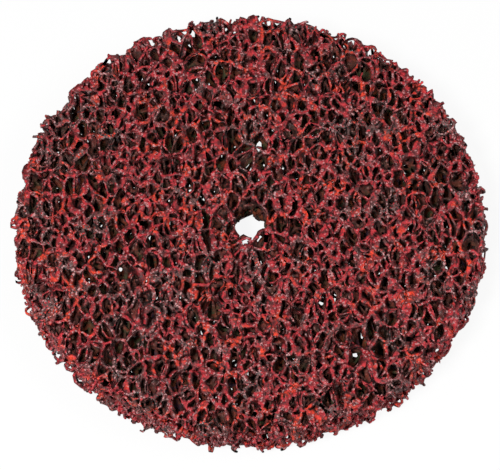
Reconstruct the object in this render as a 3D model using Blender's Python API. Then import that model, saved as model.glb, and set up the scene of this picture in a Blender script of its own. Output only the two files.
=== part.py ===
"""Open-web stripping disc: one thick round pad of resin-bonded strands with a plain arbor hole.

The pad is one solid wall. Its whole skin, the two faces and the rim, is a random net of
strands. Each opening of the net is a pit that runs down between the strands, and a share
of them run right through from face to face, narrowing to a small throat halfway down.

Each side of the skin is drawn flat, the face with its half of the rim folded out round it,
and then put in its place. The sides meet at the arbor hole and at a seam round the rim.

Metres, +Z along the arbor. The origin is the centre of the underside, on which it lies.
"""

import math
import random

import bmesh
import bpy
from mathutils import Vector
from mathutils.geometry import delaunay_2d_cdt

# Overall sizes
DISC_DIAMETER = 0.150
DISC_THICKNESS = 0.013
BORE_DIAMETER = 0.013
CLAMP_DIAMETER = 0.034

# Net of strands
STRAND_WIDTH = 0.0015
STRAND_DIP = 0.0013
SHORTEST_STRAND = 0.0016
THROAT_DIAMETER = 0.0022
PIT_FLOOR = 0.0012
CORNER_SNAP = 0.0016
SEAM_WAVE = 0.0016

# Counts
GAP_COUNT = 120
PITS_A_SIDE = 425
BORE_POINTS = 32
SEAM_POINTS = 72
THROAT_POINTS = 5
SEAM_WAVES = (5, 11)

# Shares
STRAND_VARIATION = 0.25
LEVEL_NODES = 0.5
PIT_DEPTHS = (0.6, 1.0)
SMALLEST_OPENING = 0.35
BORE_HOLLOW = 0.5

TRIES_A_SEED = 14
RANDOM_SEED = 41
POINT_TOLERANCE = 1e-8
WEB_RED = (0.33, 0.035, 0.045, 1.0)
WEB_ROUGHNESS = 0.62

DISC_RADIUS = DISC_DIAMETER / 2
BORE_RADIUS = BORE_DIAMETER / 2
HALF_THICKNESS = DISC_THICKNESS / 2
CORE_RADIUS = DISC_RADIUS - HALF_THICKNESS
NET_INNER_RADIUS = BORE_RADIUS + STRAND_WIDTH / 2

TOP, UNDERSIDE = 1, -1
BORE, SEAM = "bore", "seam"


def clear_scene():
    for thing in list(bpy.data.objects):
        bpy.data.objects.remove(thing, do_unlink=True)


def on_circle(radius, angle):
    return Vector((radius * math.cos(angle), radius * math.sin(angle)))


def circle_points(radius, count, turn=0.0):
    return [on_circle(radius, turn + math.tau * i / count) for i in range(count)]


def angle_of(point):
    return math.atan2(point.y, point.x) % math.tau


def seam_radius(angle, side):
    """Where one side of the skin ends when it is drawn flat. The seam wanders along the rim."""
    first, second = SEAM_WAVES
    wave = SEAM_WAVE * (0.6 * math.sin(first * angle + 1.0) + 0.4 * math.sin(second * angle))
    return DISC_RADIUS + HALF_THICKNESS + side * wave


def skin_point(flat, dip, side):
    """A point of the flat drawing as a place on the disc, sunk by dip."""
    radius, angle = flat.length, angle_of(flat)
    past_edge = radius - DISC_RADIUS
    if past_edge <= 0:
        out, height = radius, HALF_THICKNESS - dip
    else:
        out, height = DISC_RADIUS - dip, HALF_THICKNESS - past_edge
    rim = on_circle(out, angle)
    return Vector((rim.x, rim.y, HALF_THICKNESS + side * height))


def core_point(flat):
    """The point of the disc's middle that a pit starting here runs towards."""
    middle = on_circle(min(flat.length, CORE_RADIUS), angle_of(flat))
    return Vector((middle.x, middle.y, HALF_THICKNESS))


def spread_points(count, placed, inner, outer, rng):
    """Adds count points to placed, each the best of a few tries at keeping its distance."""
    points = list(placed)
    while len(points) < len(placed) + count:
        tries = [
            on_circle(math.sqrt(rng.uniform(inner**2, outer**2)), rng.uniform(0, math.tau))
            for _ in range(TRIES_A_SEED)
        ]
        room = [min(((p - t).length_squared for p in points), default=1.0) for t in tries]
        points.append(tries[room.index(max(room))])
    return points


def mirrored(point, radius):
    """The point's image across a circle, which makes a cell end on that circle."""
    return point * ((2 * radius - point.length) / point.length)


def triangulate(points, edges=()):
    """Delaunay triangles over flat points as indices into them, inside the edges if given."""
    inside = 1 if edges else 0
    _, _, triangles, origins, _, _ = delaunay_2d_cdt(
        points, list(edges), [], inside, POINT_TOLERANCE
    )
    return [[origins[i][0] for i in triangle] for triangle in triangles]


def circumcentre(a, b, c):
    ab, ac = b - a, c - a
    cross = 2 * (ab.x * ac.y - ab.y * ac.x)
    across = ac.y * ab.length_squared - ab.y * ac.length_squared
    along = ab.x * ac.length_squared - ac.x * ab.length_squared
    return a + Vector((across, along)) / cross


def snapped_to_corner(node):
    """Strands that pass close to the disc's edge run along it."""
    if abs(node.length - DISC_RADIUS) < CORNER_SNAP:
        return node * (DISC_RADIUS / node.length)
    return node


def merge_close(centres, triangles):
    """One node for centres that nearly meet. Returns the nodes, and each triangle's node."""
    parent = list(range(len(centres)))

    def root(i):
        while parent[i] != i:
            i = parent[i]
        return i

    by_edge = {}
    for index, triangle in enumerate(triangles):
        for corner in range(3):
            edge = frozenset((triangle[corner], triangle[corner - 1]))
            by_edge.setdefault(edge, []).append(index)
    for pair in by_edge.values():
        if len(pair) == 2 and (centres[pair[0]] - centres[pair[1]]).length < SHORTEST_STRAND:
            parent[root(pair[0])] = root(pair[1])
    groups = {}
    for index, centre in enumerate(centres):
        groups.setdefault(root(index), []).append(centre)
    nodes = {key: sum(group, Vector((0, 0))) / len(group) for key, group in groups.items()}
    return nodes, [root(index) for index in range(len(centres))]


def net_cells(seeds, side):
    """The net's nodes, and each seed's cell as the nodes round it."""
    ghosts = [mirrored(p, NET_INNER_RADIUS) for p in seeds if p.length < 2 * NET_INNER_RADIUS]
    ghosts += [mirrored(p, seam_radius(angle_of(p), side)) for p in seeds
               if p.length > CORE_RADIUS]
    points = seeds + ghosts
    triangles = [t for t in triangulate(points) if min(t) < len(seeds)]
    centres = [snapped_to_corner(circumcentre(*(points[i] for i in t))) for t in triangles]
    nodes, node_of = merge_close(centres, triangles)
    cells = [set() for _ in seeds]
    for triangle, node in zip(triangles, node_of):
        for corner in triangle:
            if corner < len(seeds):
                cells[corner].add(node)
    ordered = []
    for seed, cell in zip(seeds, cells):
        ordered.append(sorted(cell, key=lambda node: angle_of(nodes[node] - seed)))
    return nodes, ordered


def opening_of(corners, half_strand):
    """The cell's middle, and its outline drawn in towards the middle by half a strand."""
    middle = sum(corners, Vector((0, 0))) / len(corners)
    reach = min(
        abs((b - a).cross(middle - a)) / (b - a).length
        for a, b in zip(corners, corners[1:] + corners[:1])
    )
    share = max(1 - half_strand / reach, SMALLEST_OPENING)
    return middle, [middle + share * (corner - middle) for corner in corners]


def short_of_seam(point, side):
    """The point, drawn in where it comes closer to the seam than half a strand."""
    limit = seam_radius(angle_of(point), side) - STRAND_WIDTH / 2
    return point * min(1, limit / point.length)


def node_dip(node, rng):
    """How far the net sinks at a node. The part that is clamped is level."""
    dip = 0.0 if rng.random() < LEVEL_NODES else rng.uniform(0, STRAND_DIP)
    return 0.0 if node.length < CLAMP_DIAMETER / 2 else dip


class Skin:
    """One side of the skin as it is drawn flat, loop by loop."""

    def __init__(self):
        self.flat = []
        self.verts = []
        self.edges = []
        self.owners = []

    def add_loop(self, flat, verts, owner):
        first, count = len(self.flat), len(flat)
        self.edges += [(first + i, first + (i + 1) % count) for i in range(count)]
        self.flat += flat
        self.verts += verts
        self.owners += [owner] * count

    def fill_between_loops(self, bm):
        """Faces everywhere but inside the bore and the openings."""
        for triangle in triangulate(self.flat, self.edges):
            owners = {self.owners[i] for i in triangle}
            if len(owners) > 1 or owners == {SEAM}:
                bm.faces.new([self.verts[i] for i in triangle])


def add_pit(bm, rim, middle, side, rng):
    """A blind opening: its walls run together at a point short of the disc's middle."""
    depth = rng.uniform(*PIT_DEPTHS) * (1 - PIT_FLOOR / 2 / HALF_THICKNESS)
    foot = bm.verts.new(skin_point(middle, 0, side).lerp(core_point(middle), depth))
    for a, b in zip(rim, rim[1:] + rim[:1]):
        bm.faces.new((a, b, foot))


def add_side(bm, seeds, seam, side, rng):
    """One face and its half of the rim. Returns the bore's loop and the loops of the gaps."""
    nodes, cells = net_cells(seeds, side)
    dips = {key: node_dip(nodes[key], rng) for key in sorted(nodes)}
    skin = Skin()
    circle = circle_points(BORE_RADIUS, BORE_POINTS)
    bore = [bm.verts.new(skin_point(point, 0, side)) for point in circle]
    skin.add_loop(circle, bore, BORE)
    ends = [on_circle(seam_radius(angle_of(point), side), angle_of(point))
            for point in circle_points(DISC_RADIUS, SEAM_POINTS)]
    skin.add_loop(ends, seam, SEAM)

    openings = []
    for index, cell in enumerate(cells):
        half_strand = STRAND_WIDTH / 2 * rng.uniform(1 - STRAND_VARIATION, 1 + STRAND_VARIATION)
        middle, outline = opening_of([nodes[key] for key in cell], half_strand)
        outline = [short_of_seam(point, side) for point in outline]
        rim = [bm.verts.new(skin_point(point, dips[key], side))
               for point, key in zip(outline, cell)]
        skin.add_loop(outline, rim, index)
        openings.append((middle, rim))

    skin.fill_between_loops(bm)
    for middle, rim in openings[GAP_COUNT:]:
        add_pit(bm, rim, middle, side, rng)
    return bore, [rim for _, rim in openings[:GAP_COUNT]]


def add_seam(bm, rng):
    """The strand that both sides share, round the rim. It reaches full size four times."""
    seam = []
    for i, point in enumerate(circle_points(DISC_RADIUS, SEAM_POINTS)):
        full_size = i % (SEAM_POINTS // 4) == 0
        dip = 0.0 if full_size else rng.uniform(0, STRAND_DIP)
        end = on_circle(seam_radius(angle_of(point), TOP), angle_of(point))
        seam.append(bm.verts.new(skin_point(end, dip, TOP)))
    return seam


def add_bore_wall(bm, top, bottom, rng):
    """The wall of the arbor hole, a little hollow halfway down, where no strand reaches it."""
    middle = []
    for point in circle_points(1.0, BORE_POINTS):
        place = point * (BORE_RADIUS + rng.uniform(0, BORE_HOLLOW) * STRAND_WIDTH / 2)
        middle.append(bm.verts.new((place.x, place.y, HALF_THICKNESS)))
    for upper, lower in ((top, middle), (middle, bottom)):
        for i in range(BORE_POINTS):
            bm.faces.new((upper[i - 1], upper[i], lower[i], lower[i - 1]))


def stitch(bm, loop, other, middle):
    """Joins two loops of any number of points that both go once round the middle."""
    def turned(verts):
        """The loop's points and their angles, in turn, closed by the first point again."""
        pairs = sorted(((angle_of(vert.co.xy - middle), vert) for vert in verts),
                       key=lambda pair: pair[0])
        angles = [angle for angle, _ in pairs] + [pairs[0][0] + math.tau]
        return [vert for _, vert in pairs] + [pairs[0][1]], angles

    first, first_angles = turned(loop)
    second, second_angles = turned(other)
    i = j = 0
    while i < len(loop) or j < len(other):
        if j == len(other) or (i < len(loop) and first_angles[i + 1] <= second_angles[j + 1]):
            bm.faces.new((first[i], first[i + 1], second[j]))
            i += 1
        else:
            bm.faces.new((first[i], second[j], second[j + 1]))
            j += 1


def add_gap(bm, top, bottom, seed, rng):
    """A way right through, from an opening in one face to one in the other."""
    throat = []
    for point in circle_points(THROAT_DIAMETER / 2, THROAT_POINTS, rng.uniform(0, math.tau)):
        place = seed + point
        throat.append(bm.verts.new((place.x, place.y, HALF_THICKNESS)))
    stitch(bm, top, throat, seed)
    stitch(bm, bottom, throat, seed)


def web_mesh():
    rng = random.Random(RANDOM_SEED)
    bm = bmesh.new()
    edge_room = 2 * STRAND_WIDTH + THROAT_DIAMETER / 2
    gaps = spread_points(
        GAP_COUNT, [], NET_INNER_RADIUS + edge_room, CORE_RADIUS - edge_room, rng
    )
    seam = add_seam(bm, rng)
    seed_limit = DISC_RADIUS + HALF_THICKNESS - SEAM_WAVE - STRAND_WIDTH
    sides = []
    for side in (TOP, UNDERSIDE):
        seeds = spread_points(
            PITS_A_SIDE - GAP_COUNT, gaps, NET_INNER_RADIUS + STRAND_WIDTH, seed_limit, rng
        )
        sides.append(add_side(bm, seeds, seam, side, rng))
    (top_bore, top_gaps), (bottom_bore, bottom_gaps) = sides
    add_bore_wall(bm, top_bore, bottom_bore, rng)
    for top, bottom, seed in zip(top_gaps, bottom_gaps, gaps):
        add_gap(bm, top, bottom, seed, rng)
    bmesh.ops.triangulate(bm, faces=bm.faces)
    bmesh.ops.recalc_face_normals(bm, faces=bm.faces)
    mesh = bpy.data.meshes.new("web_disc")
    bm.to_mesh(mesh)
    bm.free()
    return mesh


def web_material():
    material = bpy.data.materials.new("red_resin_web")
    material.use_nodes = True
    shader = material.node_tree.nodes["Principled BSDF"]
    shader.inputs["Base Color"].default_value = WEB_RED
    shader.inputs["Roughness"].default_value = WEB_ROUGHNESS
    shader.inputs["Metallic"].default_value = 0.0
    return material


def main():
    clear_scene()
    disc = bpy.data.objects.new("web_disc", web_mesh())
    disc.data.materials.append(web_material())
    bpy.context.scene.collection.objects.link(disc)


main()
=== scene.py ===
"""The looks of the open-web stripping disc: the web itself, strand by strand.

The web is grown as the edges of a random foam. Each bubble of the foam is a polyhedron
round a seed, cut out of a block by the planes halfway to its neighbours. Where bubbles
meet, the resin stands as strands, thick at the junctions and thin between them, and here
and there a film is left across part of an opening. The bubbles are small near the disc's
skin and larger in its core, and longer along Y than along X, as the strands were laid.

The web's surface has a corner wherever a bubble's face, or the bubble itself, touches a
junction, and a ring of such points wherever a strand is cut across. So it is one closed
skin, split into sectors only to keep each piece small. The loose ends, and the loops at
the rim, are closed tubes that start at junctions, inside the skin.

Sizes are in millimetres until a mesh is made.
"""

import math

import bmesh
import bpy
import numpy as np
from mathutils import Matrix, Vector
from mathutils.kdtree import KDTree


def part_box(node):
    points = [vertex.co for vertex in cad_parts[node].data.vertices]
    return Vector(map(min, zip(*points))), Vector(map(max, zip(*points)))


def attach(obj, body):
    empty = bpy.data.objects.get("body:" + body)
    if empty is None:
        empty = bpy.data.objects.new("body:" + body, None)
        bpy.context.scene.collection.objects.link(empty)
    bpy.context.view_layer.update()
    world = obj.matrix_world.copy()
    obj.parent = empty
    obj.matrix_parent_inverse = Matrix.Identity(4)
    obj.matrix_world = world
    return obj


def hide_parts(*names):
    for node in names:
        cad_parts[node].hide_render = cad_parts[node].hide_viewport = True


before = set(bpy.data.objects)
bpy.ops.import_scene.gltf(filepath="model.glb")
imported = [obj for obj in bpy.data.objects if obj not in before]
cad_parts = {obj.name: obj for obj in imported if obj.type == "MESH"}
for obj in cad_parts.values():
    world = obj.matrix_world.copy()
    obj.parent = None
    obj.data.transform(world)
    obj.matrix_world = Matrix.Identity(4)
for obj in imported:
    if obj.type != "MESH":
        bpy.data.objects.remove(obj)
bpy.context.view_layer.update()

# The disc as the frame gives it
MM = 0.001
CAD_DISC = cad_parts["web_disc"]
LOW, HIGH = (np.array(corner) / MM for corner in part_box("web_disc"))
DISC_RADIUS = (HIGH[0] - LOW[0]) / 2
THICKNESS = HIGH[2] - LOW[2]
BORE_RADIUS = min(vertex.co.xy.length for vertex in CAD_DISC.data.vertices) / MM

# The punched hole: room for the strands round it, its narrower sides, its wider underside
BORE_ROOM = 0.9
BORE_SIDES = 1.0
BORE_FLARE = 0.7

# The bubbles' seeds: how many a cubic millimetre holds at the skin and in the core, and
# the depths between which that changes
SKIN_SEEDS = 0.0285
CORE_SEEDS = 0.0105
SKIN_DEPTH = 2.4
CORE_DEPTH = 4.4
EDGE_ROOM = 0.9
STRETCH = np.array([1.0, 1.7, 1.0])
RANDOM_SEED = 7

# The waves that crowd the seeds in some places and thin them out in others
CROWD_WAVES = 10
CROWD_LENGTH = (11, 24)
CROWD_SHARE = 0.4
CROWD_LIMIT = 1.3

# The search for seeds: tries for each seed, places drawn for each try, and the side of the
# grid's cells in mean distances between the core's seeds
SEED_TRIES = 3
DRAWS_A_TRY = 5
GRID_CELL = 1.2

# The foam: how deep seeds are mirrored, in mean distances between the skin's seeds, how far
# the images are moved at random, and the block and neighbours that a bubble is cut with
IMAGE_REACH = 2.6
FACE_JITTER = 1.0
RIM_JITTER = 1.8
SMALLEST_INNER = 0.4
BLOCK_SIZE = 14.0
NEIGHBOURS = 130
SHORTEST_EDGE = 0.9

# What stands in place of a bubble's number on the far side of the web's outer faces
OUTSIDE = -1

# The web's limits: how deep junctions lie under it, and the waves of its ragged rim
SKIN_ROOM = 0.5
RIM_SHY = 0.3
RIM_SLACK = 1.2
RIM_WAVES = 9
RIM_WAVE_HEIGHT = 0.48
RIM_TURNS = (40, 150)
RIM_SLOPE = 1.2

# The strands: how much their radii vary, as shares, how far they bend, as shares of their
# length, how many radii the skin stands off a junction in the corners of faces (flare and
# fill) and of bubbles (crest), and how far its points are moved at random (grain)
STRAND_RADIUS = 0.54
STRAND_VARIATION = 0.36
NODE_VARIATION = 0.3
BEND = 0.34
LEAST_BEND = 0.2
FLARE = 1.4
CORNER_FILL = 0.85
SHARPEST_CORNER = 0.25
CREST = 1.2
GRAIN = 0.085

# The films: the share of faces that have one, how many radii it reaches in from a corner,
# the most that it reaches, in millimetres and as a share of the way to the face's middle,
# and the share of faces that it closes
SKIN_FILMS = 0.15
CORE_FILMS = 0.3
FILM_REACH = (1.6, 3.4)
OPEN_REACH = (0.8, 1.2)
WIDEST_FILM = 1.7
LARGEST_REACH = 0.78
CORE_CLOSED = 0.12
RIM_CLOSED = 0.2
RIM_DEPTH = 3.0
NARROW = 1.1
FILM_HALF = 0.1

# The rings that cut a strand, at shares of its length: two on long strands near the skin,
# one in the middle on others, and none in the core. Each share goes with the number of
# rings on the strands that are cut there
MIDDLE_RING = 0.5
FIRST_RING = 0.3
LAST_RING = 0.7
RING_SHARES = {MIDDLE_RING: 1, FIRST_RING: 2, LAST_RING: 2}
FINE_DEPTH = 1.6
COARSE_DEPTH = 2.6
LONG_EDGE = 2.3
SECTORS = 6

# The loose ends: the share of junctions that have one at the rim, bore and faces
RIM_ENDS = 0.38
BORE_ENDS = 0.12
FACE_ENDS = 0.04
END_ZONE = 1.5
END_LENGTH = (0.8, 2.6)
LONG_ENDS = 0.06
LONG_FACTOR = 1.6
END_STEPS = 5
END_SPREAD = 0.45
END_RISE = 0.25
END_CURL = 0.5
END_RADIUS = 0.46
END_VARIATION = (0.7, 1.2)
ROOT_SHARE = 1.25
TIP_SHARE = 0.75
TIP_POINT = 0.3
END_KNOB = (1.0, 1.6)
TUBE_SIDES = 5

# The loops at the rim: the share of its faces that have one, and last how far loops and
# loose ends may stand out of the rim
RIM_LOOPS = 0.12
LOOP_ZONE = 1.2
LOOP_STEPS = 7
LOOP_SPREAD = 0.3
LOOP_RISE = (1.0, 2.2)
LOOP_VARIATION = (0.8, 1.1)
LOOP_LUMPS = 0.3
LOOSE_ROOM = 2.0

# Shorter vectors than this have no direction
SMALLEST_LENGTH = 1e-9


def bore_radius(points):
    """The hole's radius at each point's height, in its direction."""
    aside = points[:, 0] / np.hypot(points[:, 0], points[:, 1])
    above = 2 * points[:, 2] / THICKNESS - 1
    return BORE_RADIUS + BORE_ROOM - BORE_SIDES * aside**2 - BORE_FLARE * np.clip(above, -1, 1)


def distance_inside(points):
    """How deep points lie under the nearest face, rim or bore wall. Outside it is negative."""
    radius = np.hypot(points[:, 0], points[:, 1])
    across = np.minimum(DISC_RADIUS - radius, radius - bore_radius(points))
    along = np.minimum(points[:, 2], THICKNESS - points[:, 2])
    return np.minimum(across, along)


def crowding(points, noise):
    """How much the seeds crowd at each point, 1 on average, in smooth patches."""
    height = np.zeros(len(points))
    for _ in range(CROWD_WAVES):
        way = noise.normal(size=3)
        length = noise.uniform(*CROWD_LENGTH)
        turns = points @ way / np.linalg.norm(way) / length
        height += np.sin(math.tau * (turns + noise.random()))
    height = np.clip(height / math.sqrt(CROWD_WAVES / 2), -CROWD_LIMIT, CROWD_LIMIT)
    return 1 + CROWD_SHARE * height


def seeds_a_mm3(points, noise):
    """How many seeds a cubic millimetre holds at each point."""
    share = np.clip((distance_inside(points) - SKIN_DEPTH) / (CORE_DEPTH - SKIN_DEPTH), 0, 1)
    return (SKIN_SEEDS + (CORE_SEEDS - SKIN_SEEDS) * share) * crowding(points, noise)


def draw_places(noise):
    """More random places in the disc than are needed, and how dense seeds are to be there."""
    drawn = int(DRAWS_A_TRY * SEED_TRIES * SKIN_SEEDS * math.pi * DISC_RADIUS**2 * THICKNESS)
    radius = (DISC_RADIUS - EDGE_ROOM) * np.sqrt(noise.random(drawn))
    angle = noise.uniform(0, math.tau, drawn)
    height = noise.uniform(EDGE_ROOM, THICKNESS - EDGE_ROOM, drawn)
    places = np.stack([radius * np.cos(angle), radius * np.sin(angle), height], axis=1)
    places = places[radius - bore_radius(places) > EDGE_ROOM]
    return places, seeds_a_mm3(places, noise)


def nearest_squared(place, key, grid, farthest):
    """The squared distance to the nearest seed in the grid's cells round a place."""
    x, y, z = place
    i, j, k = key
    nearest = farthest * farthest
    for a in (i - 1, i, i + 1):
        for b in (j - 1, j, j + 1):
            for c in (k - 1, k, k + 1):
                for u, v, w in grid.get((a, b, c), ()):
                    nearest = min(nearest, (u - x) ** 2 + (v - y) ** 2 + (w - z) ** 2)
    return nearest


def spread_seeds(noise):
    """Seeds inside the disc, each the best of a few tries at keeping its distance."""
    tries, density = draw_places(noise)
    volume = math.pi * (DISC_RADIUS**2 - BORE_RADIUS**2) * THICKNESS
    count = int(volume * density.mean())
    taken = noise.random(len(tries)) < density / density.max()
    tries = (tries[taken] / STRETCH)[:count * SEED_TRIES]
    spacing = density[taken] ** (-1 / 3)
    cell = GRID_CELL * CORE_SEEDS ** (-1 / 3)
    grid = {}
    seeds = []
    for first in range(0, count * SEED_TRIES, SEED_TRIES):
        best_room = -1
        for number in range(first, first + SEED_TRIES):
            place = tuple(tries[number])
            key = tuple(int(side // cell) for side in place)
            room = nearest_squared(place, key, grid, 2 * cell) / spacing[number] ** 2
            if room > best_room:
                best, best_key, best_room = place, key, room
        seeds.append(best)
        grid.setdefault(best_key, []).append(best)
    return np.array(seeds) * STRETCH


def mirror_images(seeds, noise):
    """Points outside the disc that end the foam at its faces, its rim and its bore."""
    reach = IMAGE_REACH * SKIN_SEEDS ** (-1 / 3)
    radius = np.hypot(seeds[:, 0], seeds[:, 1])
    below = seeds * (1, 1, -1)
    above = below + (0, 0, 2 * THICKNESS)
    around = seeds.copy()
    around[:, :2] *= ((2 * DISC_RADIUS - radius) / radius)[:, None]
    within = seeds.copy()
    mirrored = 2 * bore_radius(seeds) - radius
    within[:, :2] *= (mirrored / radius)[:, None]
    groups = (
        (below[seeds[:, 2] < reach], FACE_JITTER),
        (above[THICKNESS - seeds[:, 2] < reach], FACE_JITTER),
        (around[DISC_RADIUS - radius < reach], RIM_JITTER),
        (within[mirrored > SMALLEST_INNER], FACE_JITTER),
    )
    images = [group + noise.uniform(-jitter, jitter, group.shape) for group, jitter in groups]
    images = np.concatenate(images)
    return images[distance_inside(images) < 0]


def block():
    """A cube round the origin: its faces as loops of corners, and each corner's planes."""
    numbers = {}
    places = {}
    for i in (0, 1):
        for j in (0, 1):
            for k in (0, 1):
                place = tuple(BLOCK_SIZE * (2 * side - 1) for side in (i, j, k))
                numbers[i, j, k] = len(places)
                places[len(places)] = (place, (-1 - i, -3 - j, -5 - k))
    faces = {}
    for axis in range(3):
        for side in (0, 1):
            loop = []
            for first, second in ((0, 0), (1, 0), (1, 1), (0, 1)):
                key = [side, side, side]
                key[(axis + 1) % 3] = first
                key[(axis + 2) % 3] = second
                loop.append(numbers[tuple(key)])
            faces[-1 - 2 * axis - side] = loop if side else loop[::-1]
    return faces, places


def cut_loop(loop, sides, places, made, plane):
    """The part of a face's loop that is kept, and the two corners where it was cut."""
    kept = []
    leaving = entering = None
    for a, b in zip(loop, loop[1:] + loop[:1]):
        side_a, side_b = sides[a], sides[b]
        if side_a <= 0:
            kept.append(a)
        if (side_a <= 0) == (side_b <= 0):
            continue
        key = (a, b) if a < b else (b, a)
        if key not in made:
            share = side_a / (side_a - side_b)
            place_a, planes_a = places[a]
            place_b, planes_b = places[b]
            place = tuple(u + share * (v - u) for u, v in zip(place_a, place_b))
            made[key] = max(places) + 1
            places[made[key]] = (place, tuple(set(planes_a) & set(planes_b)) + (plane,))
        kept.append(made[key])
        if side_a <= 0:
            leaving = made[key]
        else:
            entering = made[key]
    return kept, entering, leaving


def bubble(others):
    """The polyhedron of points nearer to the origin than to the others, nearest first.

    Returns {other's number: loop of corners}, and each corner's place and three planes.
    """
    faces, places = block()
    reach = 3 * BLOCK_SIZE**2
    for plane, x, y, z in others:
        apart = x * x + y * y + z * z
        if apart > 4 * reach:
            break
        sides = {}
        for number, (place, _) in places.items():
            sides[number] = place[0] * x + place[1] * y + place[2] * z - apart / 2
        cut = [number for number, side in sides.items() if side > 0]
        if not cut:
            continue
        made = {}
        links = {}
        for name in list(faces):
            kept, entering, leaving = cut_loop(faces[name], sides, places, made, plane)
            if leaving is not None:
                links[entering] = leaving
            if len(kept) > 2:
                faces[name] = kept
            else:
                del faces[name]
        loop = [next(iter(links))]
        while links[loop[-1]] != loop[0]:
            loop.append(links[loop[-1]])
        faces[plane] = loop
        for number in cut:
            del places[number]
        reach = max(x * x + y * y + z * z for (x, y, z), _ in places.values())
    return faces, places


def grow_foam(seeds, images):
    """The foam's junctions, and its faces as (bubble, bubble or OUTSIDE, loop of junctions)."""
    every = np.concatenate([seeds, images]) / STRETCH
    tree = KDTree(len(every))
    for number, place in enumerate(every):
        tree.insert(place, number)
    tree.balance()
    junctions = {}
    places = []
    faces = []
    for cell in range(len(seeds)):
        near = [number for _, number, _ in tree.find_n(every[cell], NEIGHBOURS)[1:]]
        others = [(number, *(every[number] - every[cell])) for number in near]
        loops, corners = bubble(others)
        names = {}
        for number, (place, planes) in corners.items():
            key = tuple(sorted(planes + (cell,)))
            if key not in junctions:
                junctions[key] = len(places)
                places.append(every[cell] + place)
            names[number] = junctions[key]
        for other, loop in loops.items():
            if other >= len(seeds):
                faces.append((cell, OUTSIDE, [names[number] for number in loop]))
            elif other > cell:
                faces.append((cell, other, [names[number] for number in loop]))
    return np.array(places) * STRETCH, faces


def merged_junctions(places, faces):
    """Draws junctions together that a very short strand would join."""
    parent = list(range(len(places)))
    middle = places.copy()
    weight = np.ones(len(places))

    def root(i):
        while parent[i] != i:
            parent[i] = parent[parent[i]]
            i = parent[i]
        return i

    pairs = {(min(a, b), max(a, b)) for _, _, loop in faces
             for a, b in zip(loop, loop[1:] + loop[:1])}
    pairs = np.array(sorted(pairs))
    lengths = np.linalg.norm(places[pairs[:, 0]] - places[pairs[:, 1]], axis=1)
    for index in np.argsort(lengths, kind="stable"):
        if lengths[index] > SHORTEST_EDGE:
            break
        a, b = (root(int(i)) for i in pairs[index])
        if a != b and np.linalg.norm(middle[a] - middle[b]) < SHORTEST_EDGE:
            total = weight[a] + weight[b]
            middle[a] = (middle[a] * weight[a] + middle[b] * weight[b]) / total
            weight[a] = total
            parent[b] = a
    roots = [root(i) for i in range(len(places))]
    kept = sorted(set(roots))
    number = {old: new for new, old in enumerate(kept)}
    merged = []
    for cell, other, loop in faces:
        for part in simple_loops([number[roots[i]] for i in loop]):
            merged.append((cell, other, part))
    return middle[kept], merged


def simple_loops(loop):
    """The loops, each of three corners or more, that a loop falls into at repeated corners."""
    found = []
    path = []
    for corner in loop:
        if corner in path:
            start = path.index(corner)
            if len(path) - start > 2:
                found.append(path[start:])
            path = path[:start]
        path.append(corner)
    if len(path) > 2:
        found.append(path)
    return found


def pressed(depth):
    """Depths under a face that are at least 0, and unchanged where they leave room."""
    short = np.maximum(SKIN_ROOM - depth, 0)
    return np.where(short > 0, SKIN_ROOM / (1 + short / SKIN_ROOM), depth)


def press_into_disc(places, noise):
    """Draws junctions that stand out of the disc back under its faces and its ragged rim."""
    places[:, 2] = pressed(places[:, 2])
    places[:, 2] = THICKNESS - pressed(THICKNESS - places[:, 2])
    radius = np.hypot(places[:, 0], places[:, 1])
    angle = np.arctan2(places[:, 1], places[:, 0])
    limit = np.full(len(places), DISC_RADIUS - RIM_SHY)
    for _ in range(RIM_WAVES):
        turns, slope = noise.integers(*RIM_TURNS), noise.uniform(-RIM_SLOPE, RIM_SLOPE)
        phase = turns * angle + slope * places[:, 2] + noise.uniform(0, math.tau)
        limit += RIM_WAVE_HEIGHT * np.sin(phase)
    limit = np.minimum(limit, DISC_RADIUS + RIM_SLACK)
    places[:, :2] *= ((limit - pressed(limit - radius)) / radius)[:, None]
    return places


def unit(vectors):
    """The vectors' directions."""
    length = np.linalg.norm(vectors, axis=1, keepdims=True)
    return vectors / np.maximum(length, SMALLEST_LENGTH)


def summed(values, index, count):
    """The sums of the vectors that have the same index."""
    total = np.zeros((count, 3))
    np.add.at(total, index, values)
    return total


def ways_into_bubbles(cells, spots, ways, count):
    """Adds up the ways from spots into faces for each pair of a bubble and a spot.

    The cells are the bubbles on the faces' two sides. Returns each side's number among the
    pairs, then the pairs' spots, their ways, and which pairs lie outside the web.
    """
    keys = (cells.T.ravel() + 1) * count + np.tile(spots, 2)
    pairs, number = np.unique(keys, return_inverse=True)
    pair_spots = pairs % count
    outside = pairs // count - 1 == OUTSIDE
    pair_ways = unit(summed(np.tile(unit(ways), (2, 1)), number, len(pairs)))
    inside_sum = summed(pair_ways * ~outside[:, None], pair_spots, count)
    pair_ways[outside] = -unit(inside_sum)[pair_spots[outside]]
    return number, pair_spots, pair_ways, outside


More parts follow.
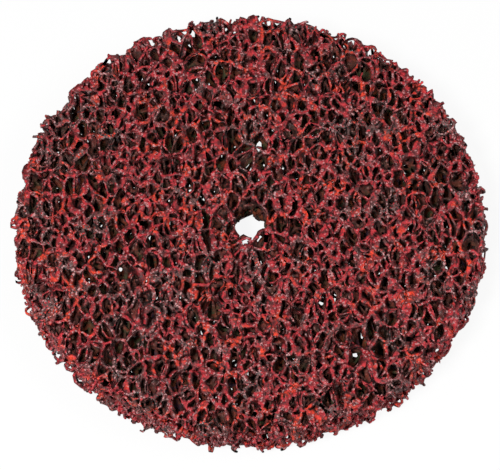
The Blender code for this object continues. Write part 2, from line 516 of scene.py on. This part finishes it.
class Web:
    """The strands' skin: its points, and its quads with the junction that each belongs to."""

    def __init__(self, places, faces, noise):
        self.noise = noise
        self.places = places
        self.groups = []
        self.list_parts(faces)
        self.choose_strands()
        self.bend_strands()
        self.aim()
        self.choose_films()
        self.place_corners()
        self.place_rings()
        self.place_films()
        self.points = np.concatenate(self.groups)
        self.points += self.noise.normal(0, GRAIN, self.points.shape)
        self.make_quads()

    def list_parts(self, faces):
        """Every face's corners and sides, and the edges that sides share, as arrays of numbers."""
        corners = []
        sides = []
        for number, (cell, other, loop) in enumerate(faces):
            first = len(corners)
            for i, (a, b) in enumerate(zip(loop, loop[1:] + loop[:1])):
                corners.append((number, a))
                sides.append((number, a, b, first + i, first + (i + 1) % len(loop)))
        self.face_cells = np.array([(cell, other) for cell, other, _ in faces])
        self.corner_face, self.corner_node = np.array(corners).T
        side_face, side_a, side_b, self.side_corner_a, self.side_corner_b = np.array(sides).T
        self.side_face = side_face
        self.side_forward = side_a < side_b
        low, high = np.minimum(side_a, side_b), np.maximum(side_a, side_b)
        pairs, self.side_edge = np.unique(low * len(self.places) + high, return_inverse=True)
        self.edges = np.stack([pairs // len(self.places), pairs % len(self.places)], axis=1)

    def choose_strands(self):
        """Each strand's radius and number of rings, and each junction's sector."""
        ends = self.places[self.edges]
        self.edge_vector = ends[:, 1] - ends[:, 0]
        self.edge_length = np.linalg.norm(self.edge_vector, axis=1)
        spread = self.noise.uniform(-1, 1, len(self.edges))
        self.edge_radius = STRAND_RADIUS * (1 + STRAND_VARIATION * spread)
        depth = distance_inside(ends.mean(axis=1))
        self.rings = np.where(depth < FINE_DEPTH, 2, np.where(depth < COARSE_DEPTH, 1, 0))
        self.rings = np.where((self.rings == 2) & (self.edge_length < LONG_EDGE), 1, self.rings)
        angle = np.arctan2(self.places[:, 1], self.places[:, 0]) % math.tau
        self.sector = (angle / math.tau * SECTORS).astype(int) % SECTORS
        crossing = self.sector[self.edges[:, 0]] != self.sector[self.edges[:, 1]]
        self.rings = np.where(crossing & (self.rings == 0), 1, self.rings)

    def bend_strands(self):
        """How far, and which way, the middle of each strand stands out of a straight line."""
        random_way = self.noise.normal(size=(len(self.edges), 3))
        along = unit(self.edge_vector)
        across = random_way - along * np.sum(random_way * along, axis=1, keepdims=True)
        bend = self.noise.uniform(LEAST_BEND, 1, len(self.edges)) * BEND * self.edge_length
        self.edge_bend = unit(across) * bend[:, None]

    def aim(self):
        """Directions from junctions and strands into the faces and bubbles round them."""
        faces = len(self.face_cells)
        count = np.bincount(self.corner_face, minlength=faces)[:, None]
        at_corner = self.places[self.corner_node]
        self.face_middle = summed(at_corner, self.corner_face, faces) / count
        self.corner_way = self.face_middle[self.corner_face] - at_corner
        leaving = np.zeros_like(at_corner)
        arriving = np.zeros_like(at_corner)
        forward = unit(at_corner[self.side_corner_b] - at_corner[self.side_corner_a])
        leaving[self.side_corner_a] = forward
        arriving[self.side_corner_b] = -forward
        self.corner_sharpness = np.linalg.norm(leaving - arriving, axis=1) / 2
        start = self.places[self.edges[self.side_edge, 0]]
        along = unit(self.edge_vector)[self.side_edge]
        inward = self.face_middle[self.side_face] - start
        self.side_way = inward - along * np.sum(inward * along, axis=1, keepdims=True)

        found = ways_into_bubbles(self.face_cells[self.corner_face], self.corner_node,
                                  self.corner_way, len(self.places))
        self.corner_bubble, self.bubble_node, self.bubble_way, self.bubble_outside = found
        found = ways_into_bubbles(self.face_cells[self.side_face], self.side_edge,
                                  self.side_way, len(self.edges))
        self.side_bubble, self.bubble_edge, self.strand_way, _ = found

    def choose_films(self):
        """How many radii a film reaches into each face, and which faces it closes."""
        faces = len(self.face_cells)
        core = np.clip(distance_inside(self.face_middle) / CORE_DEPTH, 0, 1)
        film = self.noise.random(faces) < SKIN_FILMS + (CORE_FILMS - SKIN_FILMS) * core
        reach = self.noise.uniform(*FILM_REACH, faces)
        self.face_reach = np.where(film, reach, self.noise.uniform(*OPEN_REACH, faces))
        width = np.full(faces, np.inf)
        np.minimum.at(width, self.side_face, np.linalg.norm(self.side_way, axis=1))
        x, y, z = self.face_middle.T
        under_rim = DISC_RADIUS - np.hypot(x, y)
        on_side = (under_rim < RIM_DEPTH) & (np.minimum(z, THICKNESS - z) > RIM_DEPTH)
        chance = np.where(on_side, RIM_CLOSED, CORE_CLOSED * core)
        chosen = self.noise.random(faces) < chance
        self.face_closed = chosen | (width < NARROW * STRAND_RADIUS)

    def add_points(self, places):
        """Adds points to the skin, and returns their numbers."""
        first = sum(len(group) for group in self.groups)
        self.groups.append(places)
        return first + np.arange(len(places))

    def path(self, edges, share):
        """Points along bent strands, share of the way from their lower-numbered ends."""
        start = self.places[self.edges[edges, 0]]
        bend = 4 * share * (1 - share)
        return start + self.edge_vector[edges] * share + self.edge_bend[edges] * bend

    def junction_radii(self):
        """Each junction's radius: the mean of its strands' radii, more or less."""
        nodes = len(self.places)
        thick = np.zeros(nodes)
        met = np.zeros(nodes)
        for end in (0, 1):
            np.add.at(thick, self.edges[:, end], self.edge_radius)
            np.add.at(met, self.edges[:, end], 1)
        spread = self.noise.uniform(-1, 1, nodes)
        return thick / np.maximum(met, 1) * (1 + NODE_VARIATION * spread)

    def place_corners(self):
        """Points round the junctions: one in each face's corner, then one in each bubble's."""
        radii = self.junction_radii()
        flare = np.maximum(FLARE, CORNER_FILL / np.maximum(self.corner_sharpness, SHARPEST_CORNER))
        reach = flare * radii[self.corner_node] * self.face_reach[self.corner_face]
        room = np.linalg.norm(self.corner_way, axis=1)
        reach = np.minimum(reach, np.minimum(LARGEST_REACH * room, WIDEST_FILM))[:, None]
        self.add_points(self.places[self.corner_node] + unit(self.corner_way) * reach)
        reach = CREST * radii[self.bubble_node][:, None]
        crests = self.add_points(self.places[self.bubble_node] + self.bubble_way * reach)
        self.first_bubble_corner = crests[0]

    def place_rings(self):
        """Rings of points round the strands: in each face beside them, and in each bubble."""
        side_room = LARGEST_REACH * np.linalg.norm(self.side_way, axis=1)
        side_reach = self.edge_radius[self.side_edge] * self.face_reach[self.side_face]
        side_offset = unit(self.side_way) * np.minimum(side_reach, side_room)[:, None]
        strand_offset = self.strand_way * self.edge_radius[self.bubble_edge][:, None]
        self.side_ring = {}
        self.strand_ring = {}
        for share, rings in RING_SHARES.items():
            for spots, offset, table in (
                (self.side_edge, side_offset, self.side_ring),
                (self.bubble_edge, strand_offset, self.strand_ring),
            ):
                chosen = np.flatnonzero(self.rings[spots] == rings)
                table[share] = np.full(len(spots), -1)
                table[share][chosen] = self.add_points(
                    self.path(spots[chosen], share) + offset[chosen])

    def place_films(self):
        """The middle of each face's film, once for each of its two sides."""
        self.film_point = []
        for bubbles in self.corner_bubble.reshape(2, -1):
            into = summed(self.bubble_way[bubbles], self.corner_face, len(self.face_middle))
            self.film_point.append(self.add_points(self.face_middle + unit(into) * FILM_HALF))

    def make_quads(self):
        """Strips from each face's edge to the crests of the strands on its two sides."""
        start = np.where(self.side_forward, self.side_corner_a, self.side_corner_b)
        end = np.where(self.side_forward, self.side_corner_b, self.side_corner_a)
        bubbles = self.corner_bubble.reshape(2, -1) + self.first_bubble_corner
        strands = self.side_bubble.reshape(2, -1)
        low, high = self.edges[self.side_edge].T
        count = self.rings[self.side_edge]
        quads = []
        owners = []

        def strip(chosen, which, ring_list, owner_list):
            for (a, b), owner in zip(zip(ring_list, ring_list[1:]), owner_list):
                quad = np.stack([a[0], b[0], b[1], a[1]], axis=1)[chosen]
                turned = (self.side_forward[chosen] == (which == 1))[:, None]
                quads.append(np.where(turned, quad[:, ::-1], quad))
                owners.append(owner[chosen])

        closed_corner = self.face_closed[self.corner_face]
        closed_side = self.face_closed[self.side_face]
        for which in (0, 1):
            film = self.film_point[which]
            window = np.where(closed_corner, film[self.corner_face], np.arange(len(closed_corner)))
            first = (window[start], bubbles[which][start])
            last = (window[end], bubbles[which][end])
            rings = {share: (np.where(closed_side, film[self.side_face], self.side_ring[share]),
                             self.strand_ring[share][strands[which]])
                     for share in RING_SHARES}
            strip(np.flatnonzero(count == 0), which, [first, last], [low])
            strip(np.flatnonzero(count == 1), which,
                  [first, rings[MIDDLE_RING], last], [low, high])
            strip(np.flatnonzero(count == 2), which,
                  [first, rings[FIRST_RING], rings[LAST_RING], last], [low, low, high])
        self.quads = np.concatenate(quads)
        self.quad_owner = np.concatenate(owners)


def keep_in_disc(points, room):
    """Flattens what stands out of the faces, or farther out of the rim than the room."""
    points[:, 2] = np.clip(points[:, 2], 0, THICKNESS)
    radius = np.hypot(points[:, 0], points[:, 1])
    points[:, :2] *= np.minimum(1, (DISC_RADIUS + room) / radius)[:, None]
    return points


def tube(path, radii, turn):
    """A closed tube along a path, as points and faces. The turn sets where its rings begin."""
    steps = np.gradient(path, axis=0)
    side = unit(np.cross(unit(steps), turn))
    other = unit(np.cross(steps, side))
    angles = (np.arange(TUBE_SIDES) / TUBE_SIDES * math.tau)[None, :, None]
    ring = np.cos(angles) * side[:, None] + np.sin(angles) * other[:, None]
    rings = (path[:, None] + ring * radii[:, None, None]).reshape(-1, 3)
    points = np.concatenate([rings, path[:1], path[-1:] + steps[-1:] * TIP_POINT])
    last, root, tip = len(rings) - TUBE_SIDES, len(rings), len(rings) + 1
    faces = []
    for a in range(0, last, TUBE_SIDES):
        b = a + TUBE_SIDES
        for j in range(TUBE_SIDES):
            k = (j + 1) % TUBE_SIDES
            faces.append((a + j, a + k, b + k, b + j))
    for j in range(TUBE_SIDES):
        k = (j + 1) % TUBE_SIDES
        faces.append((root, k, j))
        faces.append((tip, last + j, last + k))
    return points, faces


def loose_ends(web, noise):
    """Broken strands that stand out of the web, as (sector, points, faces)."""
    outside = np.flatnonzero(web.bubble_outside)
    nodes = web.bubble_node[outside]
    ways = web.bubble_way[outside]
    places = web.places[nodes]
    radius = np.hypot(places[:, 0], places[:, 1])
    at_rim = DISC_RADIUS - radius < END_ZONE
    at_bore = radius - bore_radius(places) < END_ZONE
    chance = np.where(at_rim, RIM_ENDS, np.where(at_bore, BORE_ENDS, FACE_ENDS))
    found = []
    for number in np.flatnonzero(noise.random(len(nodes)) < chance):
        length = noise.uniform(*END_LENGTH)
        if noise.random() < LONG_ENDS:
            length *= LONG_FACTOR
        way = ways[number] + noise.normal(0, END_SPREAD, 3)
        if not at_rim[number]:
            way[2] *= END_RISE
        way /= np.linalg.norm(way)
        curl = noise.normal(0, END_CURL, 3)
        path = [places[number]]
        for _ in range(END_STEPS):
            path.append(path[-1] + way * length / END_STEPS)
            way = way + np.cross(curl, way)
            way /= np.linalg.norm(way)
        taper = np.linspace(ROOT_SHARE, TIP_SHARE, len(path))
        radii = END_RADIUS * noise.uniform(*END_VARIATION) * taper
        radii[-2] *= noise.uniform(*END_KNOB)
        found.append((web.sector[nodes[number]], *tube(np.array(path), radii, curl)))
    return found


def rim_loops(web, faces, noise):
    """Strands that arch out of the rim from junction to junction."""
    found = []
    for _, other, loop in faces:
        middle = web.places[loop].mean(axis=0)
        radius = math.hypot(middle[0], middle[1])
        if other != OUTSIDE or DISC_RADIUS - radius > LOOP_ZONE:
            continue
        if noise.random() > RIM_LOOPS:
            continue
        start, end = web.places[loop[0]], web.places[loop[len(loop) // 2]]
        out = np.array([middle[0], middle[1], 0]) / radius
        out = out + noise.normal(0, LOOP_SPREAD, 3)
        share = np.linspace(0, 1, LOOP_STEPS)[:, None]
        path = start + (end - start) * share
        path = path + out * noise.uniform(*LOOP_RISE) * np.sin(share * math.pi)
        path += noise.normal(0, GRAIN, path.shape)
        radii = END_RADIUS * noise.uniform(*LOOP_VARIATION)
        radii = radii * (1 + LOOP_LUMPS * noise.random(LOOP_STEPS))
        turn = np.cross(end - start, out)
        found.append((web.sector[loop[0]], *tube(path, radii, turn)))
    return found


def sector_object(name, web, chosen, tubes, material):
    """One sector of the web as a closed mesh in metres."""
    quads = web.quads[chosen]
    used, local = np.unique(quads, return_inverse=True)
    points = [web.points[used]]
    polygons = [list(dict.fromkeys(quad)) for quad in local.reshape(-1, 4).tolist()]
    total = len(used)
    for tube_points, tube_faces in tubes:
        points.append(tube_points)
        polygons.extend([total + i for i in face] for face in tube_faces)
        total += len(tube_points)
    places = keep_in_disc(np.concatenate(points), LOOSE_ROOM) * MM
    mesh = bpy.data.meshes.new(name)
    mesh.from_pydata(places.tolist(), [], polygons)
    bm = bmesh.new()
    bm.from_mesh(mesh)
    cut = [edge for edge in bm.edges if edge.is_boundary]
    caps = bmesh.ops.holes_fill(bm, edges=cut, sides=0)["faces"]
    for face in bm.faces:
        face.smooth = True
    for face in caps:
        face.smooth = False
    for edge in cut:
        edge.smooth = False
    bmesh.ops.triangulate(bm, faces=bm.faces)
    bm.to_mesh(mesh)
    bm.free()
    mesh.materials.append(material)
    obj = bpy.data.objects.new(name, mesh)
    bpy.context.scene.collection.objects.link(obj)
    return obj


# A Mix node's sockets for colours, which have the same names as its sockets for numbers
MIX_INPUTS = (0, 6, 7)
MIX_OUTPUT = 2


class Nodes:
    """Short calls that add and join the nodes of one material."""

    def __init__(self, name):
        self.material = bpy.data.materials.new(name)
        self.material.use_nodes = True
        self.tree = self.material.node_tree
        self.shader = self.tree.nodes["Principled BSDF"]

    def add(self, kind, **inputs):
        """A new node, with its inputs fed by name."""
        node = self.tree.nodes.new(kind)
        for name, value in inputs.items():
            self.feed(node.inputs[name], value)
        return node

    def feed(self, socket, value):
        """Links another node's output to a socket, or sets the socket to a constant."""
        if isinstance(value, bpy.types.NodeSocket):
            self.tree.links.new(value, socket)
        else:
            socket.default_value = value

    def math(self, operation, *values):
        """The result of a Math node."""
        node = self.tree.nodes.new("ShaderNodeMath")
        node.operation = operation
        for socket, value in zip(node.inputs, values):
            self.feed(socket, value)
        return node.outputs[0]

    def steps(self, value, low, high, to_low=0.0, to_high=1.0):
        """A smooth way from one result to the other as the value goes from low to high."""
        node = self.tree.nodes.new("ShaderNodeMapRange")
        node.interpolation_type = "SMOOTHSTEP"
        for name, number in (("Value", value), ("From Min", low), ("From Max", high),
                             ("To Min", to_low), ("To Max", to_high)):
            self.feed(node.inputs[name], number)
        return node.outputs["Result"]

    def mix(self, share, first, second, blend="MIX"):
        """The first colour, with the second mixed or multiplied in by a share."""
        node = self.tree.nodes.new("ShaderNodeMix")
        node.data_type = "RGBA"
        node.blend_type = blend
        for number, value in zip(MIX_INPUTS, (share, first, second)):
            self.feed(node.inputs[number], value)
        return node.outputs[MIX_OUTPUT]

    def noise(self, where, size, detail=2.0):
        """Noise with features of about the given size in millimetres."""
        node = self.add("ShaderNodeTexNoise", Vector=where, Scale=1 / (size * MM), Detail=detail)
        return node.outputs["Fac"]


# The colours of the resin and of the grain on it, then the painted shades: the one multiplied in
# on the strands' sides, the grey mixed in and the one multiplied in under the skin, and the dark
# tints painted where the web's inside lies in shade
CRIMSON = (0.48, 0.026, 0.036, 1)
ORANGE_RED = (0.74, 0.048, 0.018, 1)
DEEP_RED = (0.125, 0.016, 0.018, 1)
GREY_GRAIN = (0.125, 0.058, 0.054, 1)
PALE_GRAIN = (0.60, 0.31, 0.31, 1)
# Painted shade: the grey that darkens the strands under the skin
UNDER_GREY_SHADE = (0.20, 0.082, 0.070, 1)
# Painted shade: darker on the strands' sides than on their crests
SIDE_SHADE = (0.24, 0.25, 0.23, 1)
# Painted shade: multiplied in under the skin
UNDER_SHADE = (0.50, 0.44, 0.34, 1)
# Painted shade: the dark tints of the web's inside, in red, green and violet
INNER_SHADE = (0.150, 0.028, 0.009, 1)
INNER_SHADE_GREEN = (0.044, 0.044, 0.016, 1)
INNER_SHADE_VIOLET = (0.042, 0.018, 0.036, 1)

# The patterns: each one's size, and the values of its noise between which it fades in
PATCH_SIZE = 5.0
PATCH_RANGE = (0.5, 0.66)
STREAK_SIZE = 1.6
STREAK_RANGE = (0.38, 0.62)
GRAINY_SIZE = 9.0
GRAINY_RANGE = (0.49, 0.66)
TINT_SIZE = 3.5
GREEN_RANGE = (0.48, 0.58)
VIOLET_RANGE = (0.32, 0.4)

# The grain: its size, then how grey, speckled and pale the grains are, where a pair of
# shares is the one on clean resin and the one in grainy patches
GRAIN_SIZE = 0.5
GREY_RANGE = (0.1, 0.5)
SPECKLE = (0.3, 1.35)
SPECKLE_SHARES = (0.6, 1.0)
PALE_ABOVE = 0.9
PALE_SHARES = (0.55, 0.85)

# Depths, in metres, between which painted shade greys and darkens the strands under the skin,
# the resin grows dull, and the painted shade of the web's dark inside takes over
UNDER_SHADE_DEPTHS = (0.35 * MM, 2.2 * MM)
UNDER_GREY_SHARE = 0.6
DULL_DEPTHS = (1.0 * MM, 3.0 * MM)
INNER_SHADE_DEPTHS = (2.2 * MM, 4.8 * MM)

# The random wave that is added to depths: the size and middle of its noise, and its height
WAVE_SIZE = 2.2
NOISE_MIDDLE = 0.5
WAVE_HEIGHT = 3.0 * MM

# The side shade: how outward a side faces where the shade begins to fade and where it ends,
# how near the rim facing away from the axis counts as outward, and how much it adds there
SIDE_RANGE = (0.45, 1.1)
NEAR_RIM = (0.5 * MM, 3.0 * MM)
RIM_LIFT = 0.25

# The gloss and the bump
FINE_SIZE = 0.5
FINE_DETAIL = 3.0
GLOSS_RANGE = (0.3, 0.7)
ROUGHNESS = (0.3, 0.6)
INNER_ROUGHNESS = 0.5
SPECULAR = 0.4
FINE_BUMP = 0.6
GRAIN_BUMP = -0.5
BUMP_STRENGTH = 0.6
BUMP_HEIGHT = 0.15 * MM


def web_depth(made, where, normal):
    """How deep a point lies in the web, in metres with a random wave, and how it faces out, for
    the painted shades.
    """
    split = made.add("ShaderNodeSeparateXYZ", Vector=where)
    x, y, z = (split.outputs[name] for name in "XYZ")
    radius = made.math("SQRT", made.math("ADD", made.math("MULTIPLY", x, x),
                                         made.math("MULTIPLY", y, y)))
    under_face = made.math("MINIMUM", z, made.math("SUBTRACT", THICKNESS * MM, z))
    under_rim = made.math("SUBTRACT", DISC_RADIUS * MM, radius)
    depth = made.math("MINIMUM", under_face, under_rim)
    wave = made.math("SUBTRACT", made.noise(where, WAVE_SIZE), NOISE_MIDDLE)
    depth = made.math("ADD", depth, made.math("MULTIPLY", wave, WAVE_HEIGHT))
    facing = made.add("ShaderNodeSeparateXYZ", Vector=normal)
    nx, ny, nz = (facing.outputs[name] for name in "XYZ")
    outward = made.math("ADD", made.math("MULTIPLY", nx, x), made.math("MULTIPLY", ny, y))
    outward = made.math("DIVIDE", outward, radius)
    near_rim = made.steps(under_rim, *NEAR_RIM, 1.0, 0.0)
    outward = made.math("MULTIPLY", outward, near_rim)
    outward = made.math("MAXIMUM", made.math("ABSOLUTE", nz), outward)
    return depth, made.math("ADD", outward, made.math("MULTIPLY", near_rim, RIM_LIFT))


def resin_with_under_grey(made, where, under):
    """Crimson with orange patches and dark streaks, greyed and darkened under the skin by painted
    shade.
    """
    patches = made.steps(made.noise(where, PATCH_SIZE), *PATCH_RANGE)
    color = made.mix(patches, CRIMSON, ORANGE_RED)
    streaks = made.steps(made.noise(where, STREAK_SIZE), *STREAK_RANGE)
    color = made.mix(streaks, color, DEEP_RED)
    # Painted shade: greyer and darker where the strands lie under the skin
    return made.mix(made.math("MULTIPLY", under, UNDER_GREY_SHARE), color, UNDER_GREY_SHADE)


def with_grain(made, where, grains, color):
    """The colour under grains: grey ones in grainy patches, and pale specks everywhere."""
    grainy = made.steps(made.noise(where, GRAINY_SIZE), *GRAINY_RANGE)
    random_grain = made.add("ShaderNodeSeparateColor", Color=grains.outputs["Color"])
    grey = made.steps(random_grain.outputs["Red"], *GREY_RANGE)
    color = made.mix(made.math("MULTIPLY", grey, grainy), color, GREY_GRAIN)
    speckle = made.steps(random_grain.outputs["Blue"], 0, 1, *SPECKLE)
    color = made.mix(made.steps(grainy, 0, 1, *SPECKLE_SHARES), color, speckle, "MULTIPLY")
    pale = made.math("GREATER_THAN", random_grain.outputs["Green"], PALE_ABOVE)
    pale = made.math("MULTIPLY", pale, made.steps(grainy, 0, 1, *PALE_SHARES))
    return made.mix(pale, color, PALE_GRAIN)


def with_inner_shade(made, where, depth, color):
    """The colour, giving way to painted shade: dark tints where the web's inside lies in shade."""
    tint = made.noise(where, TINT_SIZE)
    shade_tints = made.mix(made.steps(tint, *GREEN_RANGE), INNER_SHADE, INNER_SHADE_GREEN)
    shade_tints = made.mix(made.steps(tint, *VIOLET_RANGE, 1.0, 0.0), shade_tints, INNER_SHADE_VIOLET)
    return made.mix(made.steps(depth, *INNER_SHADE_DEPTHS), color, shade_tints)


def add_finish(made, where, depth, grains):
    """Glossy on the crests and dull inside, with fine wrinkles and the grain as bump."""
    fine = made.noise(where, FINE_SIZE, FINE_DETAIL)
    gloss = made.steps(fine, *GLOSS_RANGE, *ROUGHNESS)
    dull = made.steps(depth, *DULL_DEPTHS, 0.0, INNER_ROUGHNESS)
    made.feed(made.shader.inputs["Roughness"], made.math("ADD", gloss, dull))
    made.shader.inputs["Specular IOR Level"].default_value = SPECULAR
    height = made.math("ADD", made.math("MULTIPLY", fine, FINE_BUMP),
                       made.math("MULTIPLY", grains.outputs["Distance"], GRAIN_BUMP))
    bump = made.add("ShaderNodeBump", Height=height, Strength=BUMP_STRENGTH, Distance=BUMP_HEIGHT)
    made.feed(made.shader.inputs["Normal"], bump.outputs["Normal"])


def web_material():
    """Red resin over abrasive grain, with painted shade on the strands' sides, under the skin and
    deep inside, so that the crests of the skin look brightly lit.
    """
    made = Nodes("red_resin_web")
    coordinates = made.add("ShaderNodeTexCoord")
    where = coordinates.outputs["Object"]
    depth, outward = web_depth(made, where, coordinates.outputs["Normal"])
    # How far under the skin a point lies, the mask of the painted shade there
    under = made.steps(depth, *UNDER_SHADE_DEPTHS)
    grains = made.add("ShaderNodeTexVoronoi", Vector=where, Scale=1 / (GRAIN_SIZE * MM))
    color = with_grain(made, where, grains, resin_with_under_grey(made, where, under))
    # Painted shade on the sides of the strands, so that their crests look lit
    side = made.steps(outward, *SIDE_RANGE, 1.0, 0.0)
    color = made.mix(side, color, SIDE_SHADE, "MULTIPLY")
    # Painted shade: darker under the skin
    color = made.mix(under, color, UNDER_SHADE, "MULTIPLY")
    # Painted shade: the dark of the web's inside, deeper than the skin
    color = with_inner_shade(made, where, depth, color)
    made.feed(made.shader.inputs["Base Color"], color)
    add_finish(made, where, depth, grains)
    return made.material


def add_web():
    """The whole web, grown once and added sector by sector."""
    noise = np.random.default_rng(RANDOM_SEED)
    seeds = spread_seeds(noise)
    images = mirror_images(seeds, noise)
    places, faces = merged_junctions(*grow_foam(seeds, images))
    places = press_into_disc(places, noise)
    web = Web(places, faces, noise)
    web.points = keep_in_disc(web.points, RIM_SLACK)
    tubes = loose_ends(web, noise) + rim_loops(web, faces, noise)
    material = web_material()
    for number in range(SECTORS):
        chosen = web.sector[web.quad_owner] == number
        here = [(points, polygons) for sector, points, polygons in tubes if sector == number]
        piece = sector_object(f"web_sector_{number + 1}", web, chosen, here, material)
        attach(piece, "root")
        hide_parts("web_disc")


# The floor: its half side, and its gap to the strands that lie flat on it, in metres, then
# its grey, its roughness and the share of plain white that the camera sees in it
FLOOR_HALF = 3.0
FLOOR_GAP = 0.0002
FLOOR_GREY = (0.8, 0.8, 0.8, 1)
FLOOR_ROUGHNESS = 0.9
FLOOR_WHITE = 0.9


def floor_material():
    """White to the camera, in reflections and through glass, and still shaded by the disc."""
    made = Nodes("white_floor")
    made.shader.inputs["Base Color"].default_value = FLOOR_GREY
    made.shader.inputs["Roughness"].default_value = FLOOR_ROUGHNESS
    path = made.add("ShaderNodeLightPath")
    seen = made.math("MAXIMUM", path.outputs["Is Camera Ray"], path.outputs["Is Glossy Ray"])
    seen = made.math("MAXIMUM", seen, path.outputs["Is Transmission Ray"])
    glow = made.add("ShaderNodeEmission")
    mixed = made.add("ShaderNodeMixShader", Fac=made.math("MULTIPLY", seen, FLOOR_WHITE))
    made.feed(mixed.inputs[1], made.shader.outputs[0])
    made.feed(mixed.inputs[2], glow.outputs[0])
    made.feed(made.tree.nodes["Material Output"].inputs["Surface"], mixed.outputs[0])
    return made.material


def add_floor():
    """A wide floor just under the disc."""
    mesh = bpy.data.meshes.new("floor")
    corners = [(x * FLOOR_HALF, y * FLOOR_HALF, -FLOOR_GAP)
               for x, y in ((-1, -1), (1, -1), (1, 1), (-1, 1))]
    mesh.from_pydata(corners, [], [(0, 1, 2, 3)])
    mesh.materials.append(floor_material())
    floor = bpy.data.objects.new("floor", mesh)
    bpy.context.scene.collection.objects.link(floor)


# The lights, in metres and watts: the key from the left and the front, the fill from the right
KEY_SIZE = 0.35
KEY_POWER = 7.5
KEY_PLACE = (-0.35, -0.35, 0.75)
FILL_SIZE = 0.5
FILL_POWER = 2.5
FILL_PLACE = (0.6, 0.0, 0.55)
WORLD_STRENGTH = 0.3


def add_light(name, size, power, place):
    """A round lamp that points at the middle of the disc's underside."""
    light = bpy.data.lights.new(name, "AREA")
    light.shape = "DISK"
    light.size = size
    light.energy = power
    lamp = bpy.data.objects.new(name, light)
    lamp.location = place
    toward_disc = Vector((0, 0, 0)) - Vector(place)
    lamp.rotation_euler = toward_disc.to_track_quat("-Z", "Y").to_euler()
    bpy.context.scene.collection.objects.link(lamp)


def add_world():
    """Even white light from all round."""
    world = bpy.data.worlds.new("studio")
    world.use_nodes = True
    background = world.node_tree.nodes["Background"]
    background.inputs["Color"].default_value = (1, 1, 1, 1)
    background.inputs["Strength"].default_value = WORLD_STRENGTH
    bpy.context.scene.world = world


# The camera: the disc's width fills so many of the picture's pixels, and its middle stands
# a little above the picture's. Lengths are in metres, and the sensor's is in millimetres
CAMERA_ELEVATION = math.radians(62.5)
CAMERA_DISTANCE = 1.5
PICTURE_PIXELS = 500
DISC_PIXELS = 466
FRAME_WIDTH = 2 * DISC_RADIUS * MM * PICTURE_PIXELS / DISC_PIXELS
FRAME_DROP = 0.0018
SENSOR_WIDTH = 36


def add_camera():
    """A camera in front of the disc and high above it, as the photo was taken."""
    toward = Vector((0, -math.cos(CAMERA_ELEVATION), math.sin(CAMERA_ELEVATION)))
    up = Vector((0, math.sin(CAMERA_ELEVATION), math.cos(CAMERA_ELEVATION)))
    target = Vector((0, 0, THICKNESS * MM / 2)) - up * FRAME_DROP
    camera = bpy.data.cameras.new("camera")
    camera.sensor_fit = "HORIZONTAL"
    camera.sensor_width = SENSOR_WIDTH
    camera.lens = SENSOR_WIDTH * CAMERA_DISTANCE / FRAME_WIDTH
    viewer = bpy.data.objects.new("camera", camera)
    viewer.location = target + CAMERA_DISTANCE * toward
    viewer.rotation_euler = (-toward).to_track_quat("-Z", "Y").to_euler()
    bpy.context.scene.collection.objects.link(viewer)
    bpy.context.scene.camera = viewer


add_web()
add_floor()
add_world()
add_light("key", KEY_SIZE, KEY_POWER, KEY_PLACE)
add_light("fill", FILL_SIZE, FILL_POWER, FILL_PLACE)
add_camera()
bpy.context.scene.view_settings.view_transform = "Standard"
